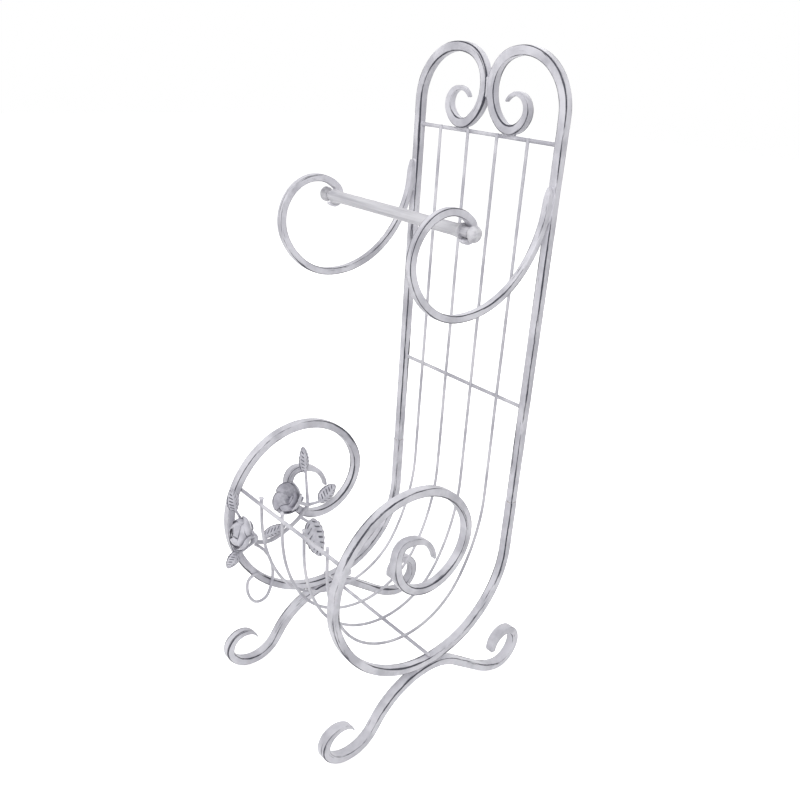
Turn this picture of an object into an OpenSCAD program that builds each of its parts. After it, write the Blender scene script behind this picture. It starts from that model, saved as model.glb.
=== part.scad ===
// Free-standing bathroom stand of scrolled square bar and wire: two uprights
// with crossed-over top scrolls, a lift-out rod held in two ring-shaped arms,
// a deep wire basket between two side spirals, scrolled feet, and a vine with
// leaves and roses on the left side.
// Axes: X to the right, Y to the back, Z up. Origin on the floor, midway
// between the side planes and midway along the feet.

/* [Stand] */
// Distance between the side planes, bar centre to bar centre
stand_w = 168; // [150:2:200]
// Height from the floor to the top of the arches
stand_h = 617; // [570:1:670]
// Square bar of the uprights, side spirals and feet
bar = 8; // [7:0.5:9]
// Rubbed corner of the bar, as a share of its half width
bar_chamfer_share = 0.2; // [0.1:0.05:0.35]

/* [Arms and rod] */
// Square bar of the two arms
arm_bar = 6.2; // [5.6:0.2:7]
// How far below the top of the arches the arms leave the uprights
arm_drop = 104; // [90:1:120]
// Radius of the arm's ring
ring_r = 92.5; // [84:0.5:97]
// Diameter of the rod's shaft
rod_d = 10; // [9:0.5:11]
// Diameter of the collar at each end of the shaft
collar_d = 13; // [12:0.5:14]
// Diameter of the groove that rests in the hook
groove_d = 8; // [7.5:0.5:8.5]
// Diameter of the ball at each end of the rod
ball_d = 13; // [12:0.5:14]

/* [Basket] */
// Reach of the side spiral in front of the uprights, to the bar centre
basket_reach = 221; // [204:1:232]
// Diameter of the round crossbars
cross_d = 3.6; // [3.2:0.2:4.4]
// Diameter of the basket wires
wire_d = 2.8; // [2.4:0.2:3.4]
// Number of basket wires is four: this is the spread of the outer pair
wire_spread = 104; // [94:2:116]
// How far the wire ends stand above the front crossbar
wire_poke = 4.5; // [3:0.5:7]

/* [Feet] */
// Height of the foot's crest above the floor, to the bar centre
crest_z = 59.5; // [57:0.5:64]
// Radius of the front foot scroll
front_scroll_r = 32.5; // [30:0.5:35]
// Radius of the back foot scroll
back_scroll_r = 22.4; // [20:0.4:25]
// Depth of the small flat worn under each foot scroll
foot_flat = 0.3; // [0.2:0.1:0.5]

/* [Vine] */
// Diameter of the vine's main wire
vine_d = 3.4; // [3:0.2:4]
// Diameter of the tendril
tendril_d = 2.6; // [2.2:0.2:3]
// Thickness of the cut leaf sheet
leaf_t = 1.2; // [1:0.1:1.6]
// Outer radius of each rose
rose_r = 16; // [14:0.5:17]
// Thickness of the petal sheet
petal_t = 1; // [0.8:0.1:1.2]

/* [Hidden] */
// clear gap at welded faces and at the running fit of rod and hook
seam = 0.1;
fit_gap = 0.3;
half_w = stand_w/2;
bar_h = bar/2;
arm_h = arm_bar/2;
cross_r = cross_d/2;
wire_r = wire_d/2;
facet_turn = 12;
wide_arc = 45;
round_fn = 32;
wire_sides = 10;

// the bars' eight-sided section, as shares of the half width
ch = 1 - bar_chamfer_share;
section_shares = [[1, -ch], [1, ch], [ch, 1], [-ch, 1], [-1, ch], [-1, -ch], [-ch, -1], [ch, -1]];

// scroll shapes: each entry is a radius and a turn in degrees; a turn of 0 is a straight run
spiral_rows = [[0.243, 0], [0.424, -73], [0.485, -17], [0.485, -22], [0.597, -47.5], [0.4, -68.5],
    [0.35, -107], [0.204, -93], [0.194, -125], [0.047, -76], [0.161, -80]];
arch_rows = [[0.54, -109], [0.312, -55], [0.4, -70], [0.205, -102], [0.149, -173]];
foot_back_turn = 36.4;
foot_front_turn = 56;
foot_crest_back_r = 63.3;
foot_crest_front_r = 76.8;
foot_flow_r = 85.7;
foot_flow_turn = 21.9;
front_scroll_turn = 131;
front_curl_r = 13.3;
front_curl_turn = 131;
front_tip_r = 42.2;
front_tip_turn = 35.4;
back_scroll_turn = 143.6;
back_curl_r = 16.7;
back_curl_turn = 130;
arm_lead = 10;
arm_rows = [[0.846, -21.4], [0.961, -72.5], [0.646, -62.4], [0.38, -155]];
hook_ease_r = 10.5;
hook_ease_turn = -48.5;
hook_turn = -122;
upright_taper = 60;
spiral_taper = 70;
foot_taper = 45;
arm_taper = 12;
tip_thin_share = 0.3;
blunt_share = 0.6;

function dir(a) = [cos(a), sin(a)];
function left_of(a) = [-sin(a), cos(a)];
function turned(v, a) = [v.x*cos(a) - v.y*sin(a), v.x*sin(a) + v.y*cos(a)];
function arc_run(p, h, r, t) =
    t == 0 ? [[p + r*dir(h), h]] :
    let (c = p + r*sign(t)*left_of(h), n = ceil(abs(t)/facet_turn*max(1, sqrt(r/wide_arc))))
    [for (k = [1:n]) [c + turned(p - c, t*k/n), h + t*k/n]];
function walk(p, h, rows, i = 0) =
    i >= len(rows) ? [] :
    let (a = arc_run(p, h, rows[i].x, rows[i].y), z = a[len(a) - 1])
    concat(a, walk(z[0], z[1], rows, i + 1));
function path(p, h, rows) = concat([[p, h]], walk(p, h, rows));
function shifted(q, v) = [for (e = q) [e[0] + v, e[1]]];
function scaled(rows, k) = [for (e = rows) [e.x*k, e.y]];
function along(q, i) = [for (e = q) e[0][i]];
function last(q) = q[len(q) - 1];
function flipped(q) = [for (i = [len(q) - 1:-1:0]) [q[i][0], q[i][1] + 180]];
function mid_rows(q) = [for (i = [1:len(q) - 1]) q[i]];
function runs(q) = [for (i = 0, s = 0; i < len(q); s = s + (i + 1 < len(q) ? norm(q[i + 1][0] - q[i][0]) : 0),
    i = i + 1) s];

// feet: crest at y 0, front half towards -Y, back half towards +Y
foot_drop = crest_z - bar_h + foot_flat;
function slope_run(r_top, r_low, a) = (foot_drop - (r_top + r_low)*(1 - cos(a)))/sin(a);
front_slope = slope_run(foot_crest_front_r, front_scroll_r, foot_front_turn);
back_low_a = foot_back_turn - foot_flow_turn;
back_drop_rest = foot_crest_back_r*(1 - cos(foot_back_turn))
    + foot_flow_r*(cos(back_low_a) - cos(foot_back_turn)) + back_scroll_r*(1 - cos(back_low_a));
back_slope = (foot_drop - back_drop_rest)/sin(foot_back_turn);
front_half = path([0, crest_z], 180, [[foot_crest_front_r, foot_front_turn], [front_slope, 0],
    [front_scroll_r, -foot_front_turn], [front_scroll_r, -front_scroll_turn], [front_curl_r, -front_curl_turn],
    [front_tip_r, -front_tip_turn]]);
back_half = path([0, crest_z], 0, [[foot_crest_back_r, -foot_back_turn], [back_slope, 0],
    [foot_flow_r, foot_flow_turn], [back_scroll_r, back_low_a], [back_scroll_r, back_scroll_turn],
    [back_curl_r, back_curl_turn]]);
foot_raw = concat(flipped(front_half), mid_rows(back_half));
foot_mid_y = (max(along(foot_raw, 0)) + min(along(foot_raw, 0)))/2;
foot_path = shifted(foot_raw, [-foot_mid_y, 0]);
crest_y = -foot_mid_y;

// side spirals: the lowest point sits on the foot's crest
spiral_raw = path([0, 0], -90, scaled(spiral_rows, basket_reach));
spiral_low = min(along(spiral_raw, 1));
spiral_low_i = search(spiral_low, along(spiral_raw, 1))[0];
spiral_low_y = spiral_raw[spiral_low_i][0].x;
upright_y = crest_y - spiral_low_y;
spiral_shift = [upright_y, crest_z + bar + seam - spiral_low];
spiral_path = shifted(spiral_raw, spiral_shift);
weld_z = spiral_path[0][0].y;
spiral_front_y = min(along(spiral_path, 0));
front_bar_turn = 21;
front_bar_row = [for (e = spiral_path) if (e[1] <= -270 - front_bar_turn) e][0];
front_bar_pos = front_bar_row[0] - left_of(front_bar_row[1])*(bar_h + cross_r);

// top arches: two mirrored scrolls that meet on the middle plane
arch_span = half_w - bar_h - seam/2;
arch_raw = path([0, 0], 90, arch_rows);
arch_k = arch_span/max(along(arch_raw, 0));
arch_unit = path([0, 0], 90, scaled(arch_rows, arch_k));
arch_start_z = stand_h - bar_h - max(along(arch_unit, 1));
arch_path = shifted(arch_unit, [-half_w, arch_start_z]);
scroll_low = min([for (e = arch_path) if (e[1] < -60) e[0].y]);

// arms and rod
arm_start = [upright_y - bar_h - arm_h - seam, stand_h - arm_drop];
hook_r = groove_d/2 + fit_gap + arm_h;
arm_path = path(arm_start, -90, concat([[arm_lead, 0]], scaled(arm_rows, ring_r), [[hook_ease_r, hook_ease_turn]],
    [[hook_r, hook_turn]]));
arm_end = last(arm_path);
rod_pos = arm_end[0] - left_of(arm_end[1])*hook_r;
groove_in = half_w - arm_h - fit_gap;
groove_out = half_w + arm_h + 1.2;
ball_seat = 3;
ball_x = groove_out + sqrt(pow(ball_d/2, 2) - pow(ball_seat, 2));
collar_w = 3.6;
collar_flare = 2.4;

// crossbars and wires
top_bar_z = scroll_low - bar_h - cross_r - seam;
mid_share = 0.302;
mid_bar_z = weld_z + (top_bar_z - weld_z)*mid_share;
low_bar_pos = [crest_y, crest_z + 2*bar + seam - bar_h + cross_r + seam];
cross_len = stand_w - bar - 2*seam;
wire_back_y = upright_y - cross_r - wire_r - seam;
wire_low_z = low_bar_pos.y + cross_r + wire_r + seam;
wire_front_y = front_bar_pos.x + cross_r + wire_r + seam;
wire_tip_z = front_bar_pos.y + cross_r + wire_poke;
wire_bend_angle = 30;
wire_back_r = 80;
wire_front_r = 96;
function long_r(h, r) = (h - r*cos(wire_bend_angle))/(1 - cos(wire_bend_angle));
wire_back_long = long_r(wire_back_y - crest_y, wire_back_r);
wire_front_long = long_r(crest_y - wire_front_y, wire_front_r);
wire_back_drop = wire_back_long*sin(wire_bend_angle) + wire_back_r*(1 - sin(wire_bend_angle));
wire_front_rise = wire_front_long*sin(wire_bend_angle) + wire_front_r*(1 - sin(wire_bend_angle));
wire_top_z = top_bar_z + cross_r + 1.4;
wire_xs = [for (i = [-3, -1, 1, 3]) i*wire_spread/6];

// vine: its wire lies on the inner faces of the left spiral
vine_x = -half_w + bar_h + vine_d/2 + seam;
// its places are shares of the basket's reach: x from the vine, y from the uprights, z from the spiral's low point
spiral_floor = crest_z + bar + seam;
function on_vine(p) = [vine_x + p.x*basket_reach, upright_y + p.y*basket_reach, spiral_floor + p.z*basket_reach];
function in_plane(p) = [upright_y + p.x*basket_reach, spiral_floor + p.y*basket_reach];
vine_start_share = [-0.8738, 0.4034];
vine_angle = -37.7;
vine_rows = [[0.1346, 53], [0.4133, 17.6], [0.1983, 25]];
vine_path = path(in_plane(vine_start_share), vine_angle, scaled(vine_rows, basket_reach));
tendril_start_share = [-0.8713, 0.3835];
tendril_angle = -38;
tendril_rows = [[0.2408, -79], [0.0502, -114], [0.1378, -48.6], [0.0396, -58.4], [0.0468, -44.8]];
function vine_at(share) = let (q = vine_path[round(share*(len(vine_path) - 1))][0]) [vine_x, q.x, q.y];

// maps a drawing in local X, Y with thickness along Z onto the side plane (Y, Z) or the back plane (X, Z)
module on_side(x) {
    translate([x, 0, 0])
    multmatrix([[0, 0, 1, 0], [1, 0, 0, 0], [0, 1, 0, 0], [0, 0, 0, 1]])
        children();
}
module on_back(y) {
    translate([0, y, 0])
    rotate([90, 0, 0])
        children();
}

// forged bar: square section with rubbed corners, swept along a path, drawn down at either end
module forged_bar(q, size, taper_start, taper_end) {
    s = runs(q);
    total = s[len(s) - 1];
    half = size/2;
    function drawn(d, t) = t == 0 ? 1 : d >= t ? 1 : tip_thin_share + (1 - tip_thin_share)*sin(90*d/t);
    function thin(i) = half*min(drawn(s[i], taper_start), drawn(total - s[i], taper_end));
    function wide(i) = half*pow(thin(i)/half, 0.35);
    function ring(c, h, a, b) = [for (k = section_shares) concat(c + left_of(h)*k.x*a, [k.y*b])];
    end = len(q) - 1;
    start_cap = taper_start == 0 ? [] : [ring(q[0][0] - dir(q[0][1])*thin(0), q[0][1],
        thin(0)*blunt_share, wide(0)*blunt_share)];
    end_cap = taper_end == 0 ? [] : [ring(q[end][0] + dir(q[end][1])*thin(end), q[end][1],
        thin(end)*blunt_share, wide(end)*blunt_share)];
    sweep(concat(start_cap, [for (i = [0:end]) ring(q[i][0], q[i][1], thin(i), wide(i))], end_cap));
}

// closed skin over a row of rings with the same number of points
module sweep(rings) {
    n = len(rings[0]);
    m = len(rings);
    points = [for (r = rings) each r];
    sides = [for (i = [0:m - 2]) for (k = [0:n - 1]) let (a = i*n + k, b = i*n + (k + 1)%n)
        [a, b, b + n, a + n]];
    caps = [[for (k = [n - 1:-1:0]) k], [for (k = [0:n - 1]) (m - 1)*n + k]];
    polyhedron(points, concat(sides, caps), convexity = 8);
}

// round wire swept along a path
module swept_wire(q, d) {
    function ring(c, h) = [for (k = [0:wire_sides - 1])
        concat(c + left_of(h)*cos(360*k/wire_sides)*d/2, [sin(360*k/wire_sides)*d/2])];
    sweep([for (e = q) ring(e[0], e[1])]);
}

module bar_between(p, q, d) {
    v = q - p;
    translate(p)
    rotate([0, acos(v.z/norm(v)), atan2(v.y, v.x)])
        cylinder(d = d, h = norm(v), $fn = round_fn/2);
}

module upright(side) {
    color([0.86, 0.85, 0.88])
    on_back(upright_y)
        mirror_path(side, concat([[[-half_w, weld_z + seam], 90]], arch_path), bar, 0, upright_taper);
}

function mirrored(q) = [for (e = q) [[-e[0].x, e[0].y], 180 - e[1]]];

module mirror_path(side, q, size, t0, t1) {
    forged_bar(side < 0 ? q : mirrored(q), size, t0, t1);
}

module side_spiral(side) {
    color([0.84, 0.83, 0.87])
    on_side(side*half_w)
        forged_bar(spiral_path, bar, 0, spiral_taper);
}

module foot(side) {
    color([0.8, 0.79, 0.84])
    difference() {
        on_side(side*half_w)
            forged_bar(foot_path, bar, foot_taper, foot_taper/2);
        translate([side*half_w, 0, -bar])
        translate([-bar, -basket_reach, 0])
            cube([2*bar, 2*basket_reach, bar]);
    }
}

module arm(side) {
    color([0.87, 0.86, 0.89])
    on_side(side*half_w)
        forged_bar(arm_path, arm_bar, arm_taper, arm_taper);
}

// lift-out rod: shaft with a flared collar and a groove at each end
module rod_shaft() {
    color([0.82, 0.81, 0.85])
    translate([0, rod_pos.x, rod_pos.y])
    rotate([0, 90, 0]) {
        translate([0, 0, -groove_out])
            cylinder(d = groove_d, h = 2*groove_out, $fn = round_fn);
        translate([0, 0, -groove_in])
            cylinder(d = rod_d, h = 2*groove_in, $fn = round_fn);
        for (s = [0, 180])
            rotate([s, 0, 0]) {
                translate([0, 0, groove_in - collar_w])
                    cylinder(d1 = collar_d, d2 = collar_d - fit_gap, h = collar_w, $fn = round_fn);
                translate([0, 0, groove_in - collar_w - collar_flare])
                    cylinder(d1 = rod_d, d2 = collar_d, h = collar_flare, $fn = round_fn);
            }
    }
}

// ball end with a flat seat against the groove's outer face
module ball_end(side) {
    color([0.85, 0.84, 0.88])
    translate([0, rod_pos.x, rod_pos.y])
    rotate([0, 0, side > 0 ? 180 : 0])
    difference() {
        translate([-ball_x, 0, 0])
            sphere(d = ball_d, $fn = round_fn);
        translate([-groove_out, -ball_d, -ball_d])
            cube([ball_d, 2*ball_d, 2*ball_d]);
    }
}

module crossbar(pos, len) {
    color([0.8, 0.79, 0.83])
    translate([-len/2, pos.x, pos.y])
    rotate([0, 90, 0])
        cylinder(d = cross_d, h = len, $fn = round_fn);
}

// basket wire: down the back, forward under the basket and up the front
module basket_wire(i) {
    bottom_start = wire_low_z + wire_back_drop;
    color([0.83, 0.82, 0.86])
    on_side(wire_xs[i])
        swept_wire(path([wire_back_y, wire_top_z], -90, [[wire_top_z - bottom_start, 0],
            [wire_back_long, -wire_bend_angle], [wire_back_r, wire_bend_angle - 90], [wire_front_r, wire_bend_angle - 90],
            [wire_front_long, -wire_bend_angle], [wire_tip_z - wire_low_z - wire_front_rise, 0]]), wire_d);
}

module vine_stem() {
    color([0.75, 0.74, 0.79])
    on_side(vine_x)
        swept_wire(vine_path, vine_d);
}

module tendril() {
    color([0.75, 0.74, 0.79])
    on_side(vine_x)
        swept_wire(path(in_plane(tendril_start_share), tendril_angle, scaled(tendril_rows, basket_reach)),
            tendril_d);
}

// leaf placed by its base and tip; sheet folded along the midrib, with a toothed edge
leaf_stations = 9;
leaf_fold_share = 0.22;
tooth_share = 0.12;
function leaf_width(t) = pow(sin(180*pow(t, 0.8)), 0.8);
module leaf(shares, root, roll) {
    base = on_vine(shares[0]);
    tip = on_vine(shares[1]);
    width = shares[2]*basket_reach;
    v = tip - base;
    e = v/norm(v);
    out = [1, 0, 0];
    n0 = out - (out*e)*e;
    n1 = n0/norm(n0);
    b0 = cross(n1, e);
    n = n1*cos(roll) + b0*sin(roll);
    b = cross(n, e);
    function rib(t) = base + v*t + n*(width*0.1*sin(180*t));
    function edge(t, s, i) = rib(t)
        + b*s*width/2*(leaf_width(t) + (i%2 == 0 ? tooth_share : 0)*leaf_width(t))
        - e*(i%2 == 0 ? 0 : width*tooth_share)
        - n*(width*leaf_fold_share*leaf_width(t));
    ts = [for (i = [0:leaf_stations]) 0.04 + 0.94*i/leaf_stations];
    top = [for (i = [0:leaf_stations]) each [edge(ts[i], -1, i), rib(ts[i]), edge(ts[i], 1, i)]];
    low = [for (p = top) p - n*leaf_t];
    m = len(top);
    up = [for (i = [0:leaf_stations - 1]) for (k = [0, 1]) let (a = 3*i + k)
        each [[a, a + 1, a + 4], [a, a + 4, a + 3]]];
    down = [for (f = up) [f[2] + m, f[1] + m, f[0] + m]];
    rim = concat([for (i = [0:leaf_stations - 1]) 3*i], [3*leaf_stations, 3*leaf_stations + 1],
        [for (i = [leaf_stations:-1:1]) 3*i + 2], [2, 1]);
    wall = [for (i = [0:len(rim) - 1]) let (a = rim[i], c = rim[(i + 1)%len(rim)])
        each [[a, c, c + m], [a, c + m, a + m]]];
    color([0.86, 0.85, 0.89]) {
        polyhedron(concat(top, low), concat(up, down, wall), convexity = 4);
        bar_between(root, rib(0.12) - n*leaf_t*0.5, leaf_t*1.8);
    }
}

// rose petals: cupped sheets set round an axis, each ring opened more than the one inside it
petal_u = 6;
petal_v = 4;
slope_step = 0.02;
module petal(r_in, r_out, rise, half_angle, turn, lip) {
    function row_r(u, v) = r_in + (r_out - r_in)*pow(v, 0.8) + (2*u - 1)*petal_t*1.5;
    function row_a(u, v) = turn + half_angle*(2*u - 1)*(0.55 + 0.45*sin(90*min(1, v*1.6)));
    function row_z(u, v) = rise*sin(100*v)*(1 - 0.25*pow(2*u - 1, 2)) - lip*pow(v, 3);
    function across(u, v) = let (w = max(v, slope_step), d = [row_z(u, w) - row_z(u, w - slope_step),
        row_r(u, w - slope_step) - row_r(u, w)]) d/norm(d);
    function sheet(u, v, t) = let (a = row_a(u, v), n = across(u, v)*t, r = row_r(u, v) + n.x)
        [r*cos(a), r*sin(a), row_z(u, v) + n.y];
    grid = [for (i = [0:petal_u]) for (j = [0:petal_v]) [i/petal_u, j/petal_v]];
    outer = [for (g = grid) sheet(g.x, g.y, petal_t/2)];
    inner = [for (g = grid) sheet(g.x, g.y, -petal_t/2)];
    k = petal_v + 1;
    m = len(outer);
    up = [for (i = [0:petal_u - 1]) for (j = [0:petal_v - 1]) let (a = i*k + j)
        each [[a, a + k + 1, a + k], [a, a + 1, a + k + 1]]];
    down = [for (f = up) [f[2] + m, f[1] + m, f[0] + m]];
    rim = concat([for (i = [0:petal_u - 1]) i*k], [for (j = [0:petal_v - 1]) petal_u*k + j],
        [for (i = [petal_u:-1:1]) i*k + petal_v], [for (j = [petal_v:-1:1]) j]);
    wall = [for (i = [0:len(rim) - 1]) let (a = rim[i], c = rim[(i + 1)%len(rim)])
        each [[a, c, c + m], [a, c + m, a + m]]];
    polyhedron(concat(outer, inner), concat(up, down, wall), convexity = 6);
}

module facing(pos, tilt, swing) {
    translate(pos)
    rotate([0, 0, swing])
    rotate([90 - tilt, 0, 0])
        children();
}

module rose_outer(pos, tilt, swing) {
    color([0.88, 0.87, 0.9])
    facing(pos, tilt, swing) {
        for (i = [0:4])
            petal(rose_r*0.22, rose_r*0.92, rose_r*0.85, 42, 72*i, rose_r*0.12);
        translate([0, 0, -petal_t])
            cylinder(r = rose_r*0.4, h = 2*petal_t, $fn = round_fn);
    }
}

module rose_inner(pos, tilt, swing) {
    color([0.84, 0.83, 0.87])
    facing(pos, tilt, swing)
    translate([0, 0, petal_t + seam]) {
        for (i = [0:3])
            petal(rose_r*0.16, rose_r*0.56, rose_r*0.95, 52, 90*i + 30, 0);
        for (i = [0:2])
            petal(rose_r*0.12, rose_r*0.3, rose_r*1.0, 62, 120*i, -rose_r*0.04);
        cylinder(r = rose_r*0.28, h = petal_t*1.6, $fn = round_fn);
    }
}

module rose_calyx(pos, tilt, swing, root) {
    color([0.74, 0.73, 0.78]) {
        facing(pos, tilt, swing)
        translate([0, 0, -petal_t - seam])
        rotate([180, 0, 0])
            cylinder(r1 = rose_r*0.36, r2 = rose_r*0.14, h = rose_r*0.32, $fn = round_fn);
        bar_between(root, calyx_end(pos, tilt, swing), tendril_d);
    }
}
function axis_of(tilt, swing) = [sin(swing)*cos(tilt), -cos(swing)*cos(tilt), sin(tilt)];
function calyx_end(pos, tilt, swing) = pos - axis_of(tilt, swing)*(petal_t + seam + rose_r*0.2);

rose_low_share = [0.075, -0.947, 0.506];
rose_low_tilt = 18;
rose_low_swing = -17;
rose_high_share = [0.0544, -0.7088, 0.5895];
rose_high_tilt = 35;
rose_high_swing = 5;
rose_low_pos = on_vine(rose_low_share);
rose_high_pos = on_vine(rose_high_share);

// leaves: base, tip and width, as shares of the basket's reach
leaf_a_shares = [[0.0181, -0.9767, 0.6028], [0.0275, -1, 0.729], 0.062];
leaf_b_shares = [[0.0136, -0.961, 0.3857], [0.0183, -1.028, 0.328], 0.074];
leaf_c_shares = [[0.0138, -0.8395, 0.4245], [0.0183, -0.718, 0.436], 0.064];
leaf_d_shares = [[0.0136, -0.6037, 0.6777], [0.0183, -0.624, 0.82], 0.056];
leaf_e_shares = [[0.0138, -0.52, 0.4915], [0.0183, -0.433, 0.563], 0.098];
leaf_f_shares = [[0.0138, -0.5753, 0.4166], [0.0181, -0.507, 0.184], 0.112];

module upright_left() upright(-1);
module upright_right() upright(1);
module spiral_left() side_spiral(-1);
module spiral_right() side_spiral(1);
module foot_left() foot(-1);
module foot_right() foot(1);
module arm_left() arm(-1);
module arm_right() arm(1);
module ball_left() ball_end(-1);
module ball_right() ball_end(1);
module crossbar_top() crossbar([upright_y, top_bar_z], cross_len);
module crossbar_mid() crossbar([upright_y, mid_bar_z], cross_len);
module crossbar_low() crossbar(low_bar_pos, stand_w + bar/2);
module crossbar_front() crossbar(front_bar_pos, stand_w + bar/2);
module wire_a() basket_wire(0);
module wire_b() basket_wire(1);
module wire_c() basket_wire(2);
module wire_d() basket_wire(3);
module rose_low_outer() rose_outer(rose_low_pos, rose_low_tilt, rose_low_swing);
module rose_low_inner() rose_inner(rose_low_pos, rose_low_tilt, rose_low_swing);
module rose_low_calyx() rose_calyx(rose_low_pos, rose_low_tilt, rose_low_swing, vine_at(0));
module rose_high_outer() rose_outer(rose_high_pos, rose_high_tilt, rose_high_swing);
module rose_high_inner() rose_inner(rose_high_pos, rose_high_tilt, rose_high_swing);
module rose_high_calyx() rose_calyx(rose_high_pos, rose_high_tilt, rose_high_swing, vine_at(1));
module leaf_a() leaf(leaf_a_shares, vine_at(0), 0);
module leaf_b() leaf(leaf_b_shares, vine_at(0), 10);
module leaf_c() leaf(leaf_c_shares, vine_at(0.2), -10);
module leaf_d() leaf(leaf_d_shares, vine_at(1), 0);
module leaf_e() leaf(leaf_e_shares, vine_at(1), 0);
module leaf_f() leaf(leaf_f_shares, vine_at(0.8), 0);

upright_left();
upright_right();
spiral_left();
spiral_right();
foot_left();
foot_right();
arm_left();
arm_right();
rod_shaft();
ball_left();
ball_right();
crossbar_top();
crossbar_mid();
crossbar_low();
crossbar_front();
wire_a();
wire_b();
wire_c();
wire_d();
vine_stem();
tendril();
rose_low_outer();
rose_low_inner();
rose_low_calyx();
rose_high_outer();
rose_high_inner();
rose_high_calyx();
leaf_a();
leaf_b();
leaf_c();
leaf_d();
leaf_e();
leaf_f();
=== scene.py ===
from math import ceil, copysign, cos, exp, pi, radians, sin, sqrt

import bmesh
import bpy
import numpy as np
from mathutils import Matrix, Vector, noise


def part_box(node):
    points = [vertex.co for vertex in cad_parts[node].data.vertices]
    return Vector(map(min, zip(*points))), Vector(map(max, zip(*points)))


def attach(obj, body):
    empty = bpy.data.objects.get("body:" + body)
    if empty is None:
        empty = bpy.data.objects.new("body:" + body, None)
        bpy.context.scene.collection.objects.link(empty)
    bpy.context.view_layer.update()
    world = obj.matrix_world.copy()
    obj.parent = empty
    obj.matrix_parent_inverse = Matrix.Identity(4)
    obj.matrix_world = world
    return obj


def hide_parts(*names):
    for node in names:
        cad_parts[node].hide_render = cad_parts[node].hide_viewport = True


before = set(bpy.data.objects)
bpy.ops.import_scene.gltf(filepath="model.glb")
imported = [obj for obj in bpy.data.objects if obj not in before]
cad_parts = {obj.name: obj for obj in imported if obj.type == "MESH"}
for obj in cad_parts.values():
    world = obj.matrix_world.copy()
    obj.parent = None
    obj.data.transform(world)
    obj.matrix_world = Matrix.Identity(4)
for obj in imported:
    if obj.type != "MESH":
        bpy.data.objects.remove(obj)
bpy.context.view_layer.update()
print("frame loaded")


# places that the frame gives
def boxOf(node):
    low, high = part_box(node)
    return np.array(low), np.array(high)


def centreOf(node):
    low, high = boxOf(node)
    return (low + high) / 2, high - low


def addPiece(piece, node=None, body="stand"):
    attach(piece, body)
    if node:
        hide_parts(node)


stand = {"seam": 0.0001, "reach": 0.221, "pathStep": 0.0022, "straightStep": 0.006, "finestTurn": 5}
seam, reach = stand["seam"], stand["reach"]
bothSides = (("left", -1), ("right", 1))
spiralCentre, spiralSize = centreOf("spiral_right")
uprightLow, uprightHigh = boxOf("upright_right")
sideX, uprightY, footBack = spiralCentre[0], centreOf("upright_right")[0][1], boxOf("foot_left")[1][1]
barSize, armBar = spiralSize[0], centreOf("arm_right")[1][0]
halfBar, halfArm = barSize / 2, armBar / 2
archTop, weldZ = uprightHigh[2], uprightLow[2] - seam
spiralFloor = boxOf("spiral_right")[0][2] + halfBar
crestZ = spiralFloor - barSize - seam


# paths are lists of (point, heading) in a plane; a turn of 0 is a straight run
def heading(angle):
    return np.array([cos(radians(angle)), sin(radians(angle))])


def leftOf(angle):
    return heading(angle + 90)


def circle(sides):
    return [2 * pi * k / sides for k in range(sides)]


def runPath(start, angle, rows, step=stand["pathStep"]):
    places = [(np.array(start, float), angle)]
    for radius, turn in rows:
        p, h = places[-1]
        if turn == 0:
            count = max(1, ceil(radius / step))
            places += [(p + heading(h) * radius * k / count, h) for k in range(1, count + 1)]
            continue
        centre = p + radius * copysign(1, turn) * leftOf(h)
        arc = abs(radians(turn)) * radius
        count = max(2, ceil(arc / step), ceil(abs(turn) / stand["finestTurn"]))
        x, y = p - centre
        for k in range(1, count + 1):
            a = radians(turn * k / count)
            spun = np.array([x * cos(a) - y * sin(a), x * sin(a) + y * cos(a)])
            places.append((centre + spun, h + turn * k / count))
    return places


def scaledRows(rows, size):
    return [(radius * size, turn) for radius, turn in rows]


def movedPath(places, shift):
    return [(p + np.array(shift), h) for p, h in places]


def mirroredPath(places):
    return [(np.array([-p[0], p[1]]), 180 - h) for p, h in places]


def sidePlane(x):
    return lambda p: Vector((x, p[0], p[1]))


def backPlane(y):
    return lambda p: Vector((p[0], y, p[1]))


# node trees: an input is another node's output or a plain value
def feedNode(tree, node, inputs):
    for label, value in inputs.items():
        if isinstance(value, bpy.types.NodeSocket):
            tree.links.new(value, node.inputs[label])
        else:
            node.inputs[label].default_value = value


def addNode(tree, kind, inputs, output=0, **settings):
    node = tree.nodes.new(kind)
    for label, value in settings.items():
        setattr(node, label, value)
    feedNode(tree, node, inputs)
    return node.outputs[output]


def mathNode(tree, operation, a, b=None, kind="ShaderNodeMath"):
    return addNode(tree, kind, {0: a} if b is None else {0: a, 1: b}, operation=operation)


def product(tree, a, b):
    return mathNode(tree, "MULTIPLY", a, b)


def vectorNode(tree, operation, a, b=None):
    return mathNode(tree, operation, a, b, "ShaderNodeVectorMath")


def scaleVector(tree, vector, amount):
    return addNode(tree, "ShaderNodeVectorMath", {0: vector, "Scale": amount}, operation="SCALE")


def namedValue(tree, name, kind="FLOAT"):
    return addNode(tree, "GeometryNodeInputNamedAttribute", {"Name": name}, "Attribute", data_type=kind)


def newTree(name, inputs):
    tree = bpy.data.node_groups.new(name, "GeometryNodeTree")
    for label, kind in {"Geometry": "Geometry", **inputs, "Material": "Material"}.items():
        tree.interface.new_socket(label, in_out="INPUT", socket_type="NodeSocket" + kind)
    tree.interface.new_socket("Geometry", in_out="OUTPUT", socket_type="NodeSocketGeometry")
    return tree, tree.nodes.new("NodeGroupInput").outputs


def finishTree(tree, geometry, material):
    real = addNode(tree, "GeometryNodeRealizeInstances", {0: geometry})
    painted = addNode(tree, "GeometryNodeSetMaterial", {"Geometry": real, "Material": material})
    feedNode(tree, tree.nodes.new("NodeGroupOutput"), {0: painted})
    return tree


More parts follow.
